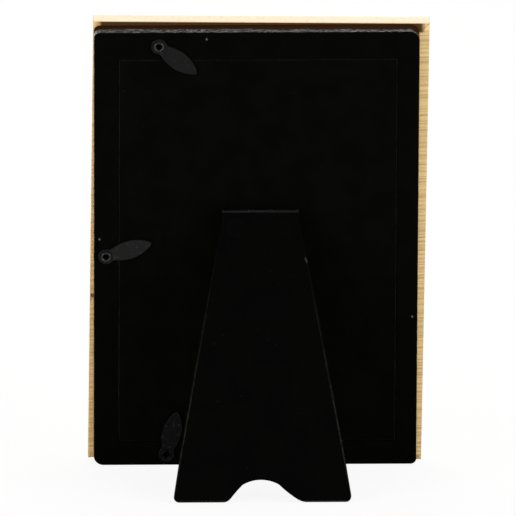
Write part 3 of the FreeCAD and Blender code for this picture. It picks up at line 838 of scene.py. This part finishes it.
@dataclass(frozen=True)
class Sheet:
    """Plain paper or card: fibres, faint clouding and a soft surface."""

    name: str
    light: Colour
    dark: Colour
    fleck: Colour
    fleck_share: float
    rough: float
    clouding: Grain = Grain((0.05, 0.05, 0.05), cut=(0.3, 0.7))
    fibre: Grain = Grain((2.4, 2.4, 2.4), 4.0, 0.7, 1.0)
    flecks: Scatter = Scatter(0.6, (0.16, 0.06))
    cloud_share: float = 0.6
    fibre_share: float = 0.2
    rough_swing: float = 0.1
    sheen: float = 0.4
    depth: float = 0.01

    def build(self) -> bpy.types.Material:
        """Make the finish.

        Returns:
            The material.
        """
        recipe = Recipe(self.name)
        at = recipe.spot(*recipe.place(LAYOUT.board))
        cloud = recipe.noise(at, self.clouding).rise(*self.clouding.cut)
        fibre = recipe.noise(at, self.fibre)
        return recipe.done(recipe.skin({
            "Base Color": recipe.coats(
                self.light,
                (cloud * self.cloud_share + fibre * self.fibre_share, self.dark),
                (recipe.dots(at, self.flecks, fibre) * self.fleck_share, self.fleck),
            ),
            "Roughness": fibre * self.rough_swing + self.rough,
            "Specular IOR Level": self.sheen,
            "Normal": recipe.relief(fibre, self.depth),
        }))


@dataclass(frozen=True)
class ClearGlass:
    """Thin clear glass: the sheet behind shows through, and the surface mirrors at a slant."""

    name: str = "clear_glass"
    tint: Colour = tone(254, 255, 255)
    smear: Colour = tone(235, 240, 240)
    haze: Grain = Grain((0.06, 0.06, 0.036), 4.0, 0.6, 0.8, (0.5, 0.75))
    index: float = 1.5
    most: float = 0.1
    rough: float = 0.02
    haze_swing: float = 0.08

    def build(self) -> bpy.types.Material:
        """Make the finish.

        Returns:
            The material.
        """
        recipe = Recipe(self.name)
        at = recipe.spot(*recipe.place(LAYOUT.board))
        haze = recipe.noise(at, self.haze).rise(*self.haze.cut)
        clear = recipe.add("ShaderNodeBsdfTransparent", {}, {0: self.tint}).outputs[0]
        mirror = recipe.skin({
            "Base Color": self.smear,
            "Metallic": 1.0,
            "Roughness": haze * self.haze_swing + self.rough,
        })
        fresnel = Number(recipe, recipe.add("ShaderNodeFresnel", {}, {"IOR": self.index}).outputs[0])
        return recipe.done(recipe.cover(fresnel.least(self.most), clear, mirror))


@dataclass(frozen=True)
class PaleFloor:
    """Plain pale floor that keeps the shadow and shows near white to the camera.

    Gloss and glass get no lift: they see the floor as the lamps light it, and the lacquer stays black.
    """

    name: str = "pale_floor"
    colour: Colour = tone(240, 239, 237)
    camera_lift: float = 0.9
    gloss_lift: float = 0.0
    rough: float = 0.8
    sheen: float = 0.1

    def build(self) -> bpy.types.Material:
        """Make the finish.

        Returns:
            The material.
        """
        recipe = Recipe(self.name)
        matt = recipe.skin({
            "Base Color": self.colour, "Roughness": self.rough, "Specular IOR Level": self.sheen,
        })
        white = recipe.add("ShaderNodeEmission", {}, {"Color": WHITE, "Strength": 1.0}).outputs[0]
        return recipe.done(recipe.cover(recipe.seen(self.camera_lift, self.gloss_lift), matt, white))


# Surfaces

SAME_PLACE = 0.0001 * MILLIMETRE
SHARP_ANGLE = 40.0
FULL_TURN = 2.0 * math.pi


def shell(
    name: str, rings: np.ndarray, seat: Seat, material: bpy.types.Material, tyre: bool = True
) -> bpy.types.Object:
    """Make a closed surface from rings of points.

    Point (i, j) joins its neighbours (i+1, j) and (i, j+1), and j wraps round. In a tyre i wraps too.
    Otherwise the first and last rings have radius nought and close to poles when doubles are merged.

    Args:
        name: the piece's name.
        rings: places in millimetres, rings by points by three.
        seat: the frame that the places are in.
        material: the finish.
        tyre: whether the last ring joins the first.

    Returns:
        The finished object.
    """
    count, around, _ = rings.shape
    row, column = np.meshgrid(np.arange(count if tyre else count - 1), np.arange(around), indexing="ij")
    after, beside = (row + 1) % count, (column + 1) % around
    faces = np.stack([
        row * around + column, row * around + beside, after * around + beside, after * around + column,
    ], axis=-1).reshape(-1, 4)
    mesh = bpy.data.meshes.new(name)
    mesh.from_pydata(seat.to_row(rings.reshape(-1, 3)).tolist(), [], faces.tolist())
    work = bmesh.new()
    work.from_mesh(mesh)
    bmesh.ops.remove_doubles(work, verts=work.verts, dist=SAME_PLACE)
    bmesh.ops.recalc_face_normals(work, faces=work.faces)
    work.to_mesh(mesh)
    work.free()
    mesh.shade_smooth()
    mesh.set_sharp_from_angle(angle=math.radians(SHARP_ANGLE))
    mesh.materials.append(material)
    piece = bpy.data.objects.new(name, mesh)
    bpy.context.scene.collection.objects.link(piece)
    return piece


def turned(profile: np.ndarray, around: int = 72) -> np.ndarray:
    """Carry a profile round the Y axis.

    The place is (radius times cosine, height, radius times sine) of each profile point, at evenly
    spaced angles.

    Args:
        profile: radius and height of each point, in order round the section.
        around: how many angles.

    Returns:
        The rings, points by angles by three.
    """
    angle = np.linspace(0.0, FULL_TURN, around, endpoint=False)
    radius, height = profile[:, :1], profile[:, 1:]
    return np.stack([radius * np.cos(angle), height + 0.0 * angle, radius * np.sin(angle)], axis=-1)


def arc(start: complex, through: complex, stop: complex, count: int) -> np.ndarray:
    """Give points of the circle through three places, from the first towards the last.

    With b and c the ways from the first place to the others, the centre lies off it by
    (|b| squared times c, less |c| squared times b) over twice i times the imaginary part of
    b's conjugate times c. The points turn about it in even steps.

    Args:
        start: first place, across plus i times upward.
        through: a place on the way.
        stop: last place, which is left out.
        count: how many points.

    Returns:
        The places as complex numbers.
    """
    second, third = through - start, stop - start
    doubled_area = (second.conjugate() * third).imag
    centre = start + (abs(second) ** 2 * third - abs(third) ** 2 * second) / (2j * doubled_area)
    spokes = np.array([start - centre, through - centre, stop - centre])
    sweep = np.angle(spokes[1] / spokes[0]) + np.angle(spokes[2] / spokes[1])
    return centre + spokes[0] * np.exp(1j * sweep * np.arange(count) / count)


def even(outline: np.ndarray, count: int, blur: float) -> np.ndarray:
    """Space a closed outline evenly and round its corners.

    The outline is read at even steps of its own length, and each wave of its Fourier sum is scaled
    by the bell curve of its number times the blur, which is an average over neighbours.

    Args:
        outline: places as complex numbers.
        count: how many places to give.
        blur: the average's width in millimetres.

    Returns:
        The new places.
    """
    closed = np.append(outline, outline[0])
    run = np.concatenate([[0.0], np.cumsum(np.abs(np.diff(closed)))])
    steps = np.arange(count) / count * run[-1]
    places = np.interp(steps, run, closed.real) + 1j * np.interp(steps, run, closed.imag)
    wave = np.fft.fftfreq(count, d=run[-1] / count) * FULL_TURN
    return np.fft.ifft(np.fft.fft(places) * np.exp(-0.5 * (wave * blur) ** 2))


def smooth(value: np.ndarray, low: float, high: float) -> np.ndarray:
    """Go smoothly from 0 at low to 1 at high: with s the clipped share, s squared times (3 - 2 s)."""
    share = np.clip((value - low) / (high - low), 0.0, 1.0)
    return share * share * (3.0 - 2.0 * share)


def dress(nodes: Sequence[str], material: bpy.types.Material) -> None:
    """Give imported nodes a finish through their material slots.

    Args:
        nodes: the nodes' names.
        material: the finish.
    """
    for node in nodes:
        shape = frame["nodes"][node]
        if not shape.material_slots:
            shape.data.materials.append(material)
        for slot in shape.material_slots:
            slot.material = material
        LOG.info("dressed %s with %s", node, material.name)


def stand_in(piece: bpy.types.Object, node: str, body: str) -> None:
    """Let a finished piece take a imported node's place.

    Args:
        piece: the piece.
        node: the node that it stands for.
        body: the body that it moves with.
    """
    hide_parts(node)
    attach(piece, body)
    LOG.info("%s stands for %s: %d faces", piece.name, node, len(piece.data.polygons))


# Sub-assemblies


@dataclass
class WoodFront:
    """Four mitred rails and the flat nails across their mitres.

    Args:
        rails: for each rail the run of its grain, where its cut starts in the pattern, and how far
        its rear face is pale from the saw and from painted light; the left rail's larger share is
        painted light.
    """

    rails: dict[str, tuple[Run, float, float]] = field(default_factory=lambda: {
        "front_rail_top": (Run.ACROSS, 3.0, 0.2),
        "front_rail_bottom": (Run.ACROSS, 17.0, 0.2),
        "front_rail_left": (Run.UPRIGHT, 29.0, 0.9),
        "front_rail_right": (Run.UPRIGHT, 41.0, 0.3),
    })

    def make(self) -> None:
        """Dress the rails, each with its own cut of wood, and the nails."""
        for node, (run, shift, sawn_and_lit_share) in self.rails.items():
            cut = RawWood(node.replace("front_rail", "wood"), run, shift, sawn_and_lit_share, LAYOUT.front)
            dress([node], cut.build())
        dress(["corner_nails"], BrightSteel("nail_steel").build())


@dataclass
class PictureStack:
    """Body, panel and what lies between panel and front.

    Places are across and up the board, in millimetres. A brad is given by its place.
    """

    panel_half_width: float = 51.75
    panel_across: float = -0.6
    panel_low: float = 9.95
    panel_high: float = 165.25
    brads: tuple[Pair, ...] = ((58.4, 92.6), (-58.5, 60.5), (18.7, 173.5), (-12.1, 2.4))
    pane_middle: complex = complex(-0.6, 87.6)
    pane_half: complex = complex(51.7, 77.6)
    pane_depth: float = -6.0
    pane_half_thickness: float = 0.97
    pane_corner: float = 0.8
    corner_points: int = 9
    arris: float = 0.3

    def pane(self) -> np.ndarray:
        """Give the glass pane's rings.

        Its outline is a rectangle with quarter-round corners. A ring lies a distance inside the
        outline, the arris slopes from face to edge, and each face closes to its middle.

        Returns:
            The rings, in millimetres.
        """
        quarter = 0.25 * FULL_TURN
        angles = np.arange(4)[:, None] * quarter + np.linspace(0.0, quarter, self.corner_points)
        signs = np.array([1 + 1j, -1 + 1j, -1 - 1j, 1 - 1j])[:, None]
        reach = self.pane_half - self.pane_corner * (1 + 1j)
        corners = signs.real * reach.real + 1j * signs.imag * reach.imag
        full = (corners + self.pane_corner * np.exp(1j * angles)).ravel()
        inner = (corners + (self.pane_corner - self.arris) * np.exp(1j * angles)).ravel()
        half = self.pane_half_thickness
        places = self.pane_middle + np.stack([inner * 0.0, inner, full, full, inner, inner * 0.0])
        depths = self.pane_depth + np.array([half, half, half - self.arris, self.arris - half, -half, -half])
        return np.stack([places.real, depths[:, None] + places.real * 0.0, places.imag], axis=-1)

    def make(self) -> None:
        """Dress the body, the panel, the glass, the blank sheet and the card."""
        dress(["rear_body"], Lacquer().build())
        panel = LAYOUT.board.moved(self.panel_across, 0.0, 0.0)
        dress(["back_panel"], BlackBoard(
            "panel_board", panel, self.panel_half_width, self.panel_low, self.panel_high,
        ).build())
        dress(["body_brads"], StovedSteel(
            "brad_steel", LAYOUT.board, tone(6, 6, 5), tone(4, 4, 4), bare=tone(92, 91, 88), rubbed=0.0,
            sheen=0.02, rough=0.6, nicks=self.brads,
        ).build())
        glass = shell("pane", self.pane(), LAYOUT.board, ClearGlass().build(), tyre=False)
        stand_in(glass, "glass_pane", "frame")
        dress(["picture_sheet"], Sheet(
            "blank_paper", tone(238, 236, 230), tone(228, 225, 218), tone(214, 210, 200), 0.25, 0.45,
        ).build())
        dress(["filler_card"], Sheet(
            "grey_card", tone(176, 168, 154), tone(150, 142, 128), tone(96, 88, 76), 0.8, 0.75,
        ).build())


@dataclass
class TurnButton:
    """One pressed leaf and the eyelet that it turns on.

    Lengths are in millimetres, and heights start at the board's face. The leaf's rings stand closer
    together towards the rim, by the power rim_crowding.
    """

    corner: Corner
    across: float
    upward: float
    turn: float
    # The face tone is set per button as painted light and shade.
    face: Colour
    ring_sheen: float
    cloud_share: float = 0.7
    leaf_sheen: float = 0.1
    ring_rough: float = 0.2
    point: float = 18.2
    width: float = 7.0
    neck_width: float = 4.0
    end_radius: float = 3.0
    belly_share: float = 0.565
    side_points: int = 90
    end_points: int = 80
    rim_points: int = 220
    leaf_rings: int = 22
    rim_crowding: float = 2.2
    thickness: float = 0.95
    gap: float = 0.1
    roll: float = 0.32
    blur: float = 0.75
    arris: float = 0.12
    under_shares: tuple[float, ...] = (1.0, 0.97, 0.6, 0.0)
    dish_edge: Pair = (2.15, 2.85)
    dish_depth: float = 0.2
    bore: float = 1.1
    bore_heights: Pair = (-1.0, 0.4)
    barrel: float = 1.45
    flange: float = 1.98
    flange_height: float = 0.45
    flange_points: int = 15
    flange_lip: float = 0.08
    flange_lip_drop: float = 0.02
    neck_drop: float = 0.1
    barrel_length: float = 4.5
    hole: float = 1.53

    @property
    def seat(self) -> Seat:
        """Give the button's frame, its leaf pointing up."""
        return LAYOUT.board.moved(self.across, 0.0, self.upward, turn=self.turn)

    @property
    def cloud(self) -> Colour:
        """Give the darker tone that clouds the face."""
        return (*(self.cloud_share * level for level in self.face[:3]), 1.0)

    def outline(self) -> np.ndarray:
        """Give the leaf's outline: two bowed sides that meet in a point, and a round end.

        Returns:
            The places as complex numbers, across plus i times upward.
        """
        neck = self.neck_width / 2
        rise = math.sqrt(self.end_radius ** 2 - neck ** 2)
        point, low = complex(0, self.point), complex(0, -self.end_radius)
        left_neck, right_neck = complex(-neck, rise), complex(neck, rise)
        belly = complex(self.width / 2, self.belly_share * self.point)
        right = arc(right_neck, belly, point, self.side_points)
        left = arc(point, -belly.conjugate(), left_neck, self.side_points)
        end = arc(left_neck, low, right_neck, self.end_points)
        return even(np.concatenate([right, left, end]), self.rim_points, self.blur)

    def leaf(self) -> np.ndarray:
        """Give the leaf's rings.

        A ring lies at a share of the way from the hole to the outline. The upper side is level, with
        a round dish at the hole and a quarter-round fall at the rim; the lower side is flat.

        Returns:
            The rings, in millimetres.
        """
        outline = self.outline()
        hole = self.hole * np.exp(1j * np.angle(outline))
        shares = 1.0 - (1.0 - np.linspace(0.0, 1.0, self.leaf_rings)[:, None]) ** self.rim_crowding
        upper = hole + (outline - hole) * shares
        inset = (1.0 - shares) * np.abs(outline - hole)
        fall = self.roll * (1.0 - np.sqrt(1.0 - np.clip(1.0 - inset / self.roll, 0.0, 1.0) ** 2))
        dish = self.dish_depth * (1.0 - smooth(np.abs(upper), *self.dish_edge))
        lower = hole + (outline - hole) * np.array(self.under_shares)[:, None]
        bottom = np.full(lower.shape, self.gap)
        bottom[0] += self.arris
        places = np.concatenate([upper, lower])
        heights = np.concatenate([self.gap + self.thickness - fall - dish, bottom])
        return np.stack([places.real, heights, places.imag], axis=-1)

    def eyelet(self) -> np.ndarray:
        """Give the eyelet's rings: a straight barrel whose end is rolled out into a half-round flange.

        Returns:
            The rings, in millimetres.
        """
        seat = self.gap * 2 + self.thickness - self.dish_depth
        middle, half = (self.bore + self.flange) / 2, (self.flange - self.bore) / 2
        angle = np.linspace(math.pi, 0.0, self.flange_points)
        crown = np.stack([middle + half * np.cos(angle), seat + self.flange_height * np.sin(angle)], axis=-1)
        under = np.array([
            [self.barrel + self.flange_lip, seat - self.flange_lip_drop],
            [self.barrel, seat - self.neck_drop],
            [self.barrel, -self.barrel_length],
        ])
        inner = np.array([[self.bore, height] for height in (-self.barrel_length, *self.bore_heights)])
        return turned(np.concatenate([inner, crown, under]))

    def make(self) -> None:
        """Build the leaf and the eyelet and let them stand for their nodes."""
        name = self.corner.value
        pressed = StovedSteel(
            f"leaf_steel_{name}", LAYOUT.board, self.face, self.cloud, sheen=self.leaf_sheen,
            dishes=((self.across, self.upward),),
        )
        rolled = StovedSteel(
            f"eyelet_steel_{name}", LAYOUT.board, self.cloud, self.cloud, rubbed=1.0,
            sheen=self.ring_sheen, rough=self.ring_rough,
        )
        leaf = shell(f"leaf_{name}", self.leaf(), self.seat, pressed.build())
        stand_in(leaf, f"turn_button_{name}", f"button_{name}")
        eyelet = shell(f"eyelet_{name}", self.eyelet(), self.seat, rolled.build())
        stand_in(eyelet, f"button_eyelet_{name}", "frame")


@dataclass
class Hinge:
    """Leaf, pin, clasp and rivets.

    The shines are distances from the middle. The leaf is bright inside its own, and the clasp outside.
    """

    sheen: float = 0.17
    rough: float = 0.09
    rubbed: float = 0.3
    dark: Colour = tone(6, 6, 6)
    darker: Colour = tone(4, 4, 4)
    leaf_shine: Pair = (4.2, 1.8)
    clasp_shine: Pair = (9.6, 13.4)

    def make(self) -> None:
        """Dress the hinge's pieces."""
        for nodes, name, seat, shine in (
            (["hinge_leaf", "leaf_rivets"], "leaf_steel", LAYOUT.hinge, self.leaf_shine),
            (["leg_clasp"], "clasp_steel", LAYOUT.leg, self.clasp_shine),
        ):
            dress(nodes, StovedSteel(
                name, seat, self.dark, self.darker, rubbed=self.rubbed, sheen=self.sheen, rough=self.rough,
                shine=shine,
            ).build())
        dress(["leg_rivets"], StovedSteel(
            "rivet_steel", LAYOUT.leg, tone(2, 2, 2), tone(3, 3, 2), rubbed=0.0, sheen=0.02, rough=0.6,
        ).build())
        dress(["hinge_pin"], BrightSteel("pin_steel", tone(96, 94, 90), tone(60, 57, 53)).build())


@dataclass
class EaselLeg:
    """The black board leg, measured from the pin."""

    half_top: float = 14.35
    half_foot: float = 33.3
    length: float = 109.6
    shoulder: float = 3.8
    top_drop: float = 0.6
    # How strong the rubbed edges and their painted highlight are.
    wear_and_highlight: float = 0.42
    nick: Pair = (-16.9, -18.7)

    def make(self) -> None:
        """Dress the leg; its edges are rubbed along the slanting sides and carry a painted highlight."""
        slope = (self.half_foot - self.half_top) / (self.length - self.shoulder)
        dress(["easel_leg"], BlackBoard(
            "leg_board", LAYOUT.leg, self.half_top, -self.length, -self.top_drop, slope, -self.shoulder,
            tone(2, 2, 2), tone(4, 4, 3), tone(56, 56, 54), wear_and_highlight=self.wear_and_highlight, highlight_fades_upward=True, nick=self.nick,
        ).build())


@dataclass(frozen=True)
class Lamp:
    """One soft lamp.

    Args:
        name: the lamp's name.
        spot: where it hangs, in metres.
        sides: its two sides.
        power: its power in watts.
        target: what it points at.
    """

    name: str
    spot: Spot
    sides: Pair
    power: float
    target: Spot = (0.0, 0.0, 0.08)

    def hang(self) -> None:
        """Put the lamp into the scene."""
        data = bpy.data.lights.new(self.name, "AREA")
        data.shape = "RECTANGLE"
        data.size, data.size_y = self.sides
        data.energy = self.power
        lamp = bpy.data.objects.new(self.name, data)
        lamp.location = self.spot
        lamp.rotation_euler = (Vector(self.target) - Vector(self.spot)).to_track_quat("-Z", "Y").to_euler()
        bpy.context.scene.collection.objects.link(lamp)


@dataclass
class Studio:
    """Floor, lamps, surroundings and camera. Lengths are in metres, the lens in its own millimetres."""

    aim: Spot = (0.000325, 0.0, 0.08474)
    azimuth: float = 178.85
    elevation: float = 11.75
    distance: float = 6.9
    lens: float = 1291.8
    view_end: float = 60.0
    floor_half: float = 20.0
    ambient: float = 0.35
    camera_share: float = 1.0
    gloss_share: float = 0.3
    lamps: tuple[Lamp, ...] = (
        Lamp("top_lamp", (-0.25, -0.1, 1.1), (1.2, 1.0), 5.9),
        Lamp("left_lamp", (1.1, 0.9, 0.45), (0.8, 0.8), 11.6),
        Lamp("right_lamp", (-1.1, 0.7, 0.4), (0.8, 0.8), 10.4),
        Lamp("edge_lamp", (0.1, -0.95, 0.86), (1.1, 0.08), 3.2, (0.0, 0.0, 0.17)),
        Lamp("front_lamp", (0.35, -1.25, 0.3), (0.9, 0.7), 3.9),
    )

    def make(self) -> None:
        """Build the studio."""
        self.floor()
        self.surroundings()
        for lamp in self.lamps:
            lamp.hang()
        self.camera()

    def floor(self) -> None:
        """Make the floor as one large square."""
        corners = [(-1.0, -1.0, 0.0), (1.0, -1.0, 0.0), (1.0, 1.0, 0.0), (-1.0, 1.0, 0.0)]
        mesh = bpy.data.meshes.new("floor")
        mesh.from_pydata((np.array(corners) * self.floor_half).tolist(), [], [(0, 1, 2, 3)])
        mesh.materials.append(PaleFloor().build())
        plane = bpy.data.objects.new("floor", mesh)
        bpy.context.scene.collection.objects.link(plane)

    def surroundings(self) -> None:
        """Make the world: white to the camera and partly to gloss, soft to everything else."""
        recipe = Recipe("studio", world=True)
        soft, full = (
            recipe.add("ShaderNodeBackground", {}, {"Color": WHITE, "Strength": strength}).outputs[0]
            for strength in (self.ambient, 1.0)
        )
        seen = recipe.seen(self.camera_share, self.gloss_share)
        bpy.context.scene.world = recipe.done(recipe.cover(seen, soft, full))

    def camera(self) -> None:
        """Set the camera at the photograph's angle."""
        data = bpy.data.cameras.new("camera")
        data.lens = self.lens
        data.clip_end = self.view_end
        azimuth, elevation = math.radians(self.azimuth), math.radians(self.elevation)
        level = math.cos(elevation)
        back = Vector((math.sin(azimuth) * level, -math.cos(azimuth) * level, math.sin(elevation)))
        camera = bpy.data.objects.new("camera", data)
        camera.location = Vector(self.aim) + back * self.distance
        camera.rotation_euler = (-back).to_track_quat("-Z", "Y").to_euler()
        bpy.context.scene.collection.objects.link(camera)
        bpy.context.scene.camera = camera


def main() -> None:
    """Build the pieces in order."""
    logging.basicConfig(level=logging.INFO, format="%(message)s")
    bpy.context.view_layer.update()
    bpy.context.scene.view_settings.view_transform = "Standard"
    for assembly in (
        Studio(),
        WoodFront(),
        PictureStack(),
        # All three buttons are one steel; their face tones differ as painted light and shade: lightest on
        # the side button, darkest on the bottom one, whose eyelet's sheen is lowered likewise.
        TurnButton(Corner.TOP, 36.4, 170.9, -128.0, tone(13, 13, 13), ring_sheen=0.35),
        TurnButton(Corner.SIDE, 55.95, 85.8, -72.0, tone(20, 20, 20), ring_sheen=0.35),
        TurnButton(Corner.BOTTOM, 33.3, 4.85, -13.0, tone(4, 4, 4), ring_sheen=0.06),
        Hinge(),
        EaselLeg(),
    ):
        assembly.make()


if __name__ == "__main__":
    main()
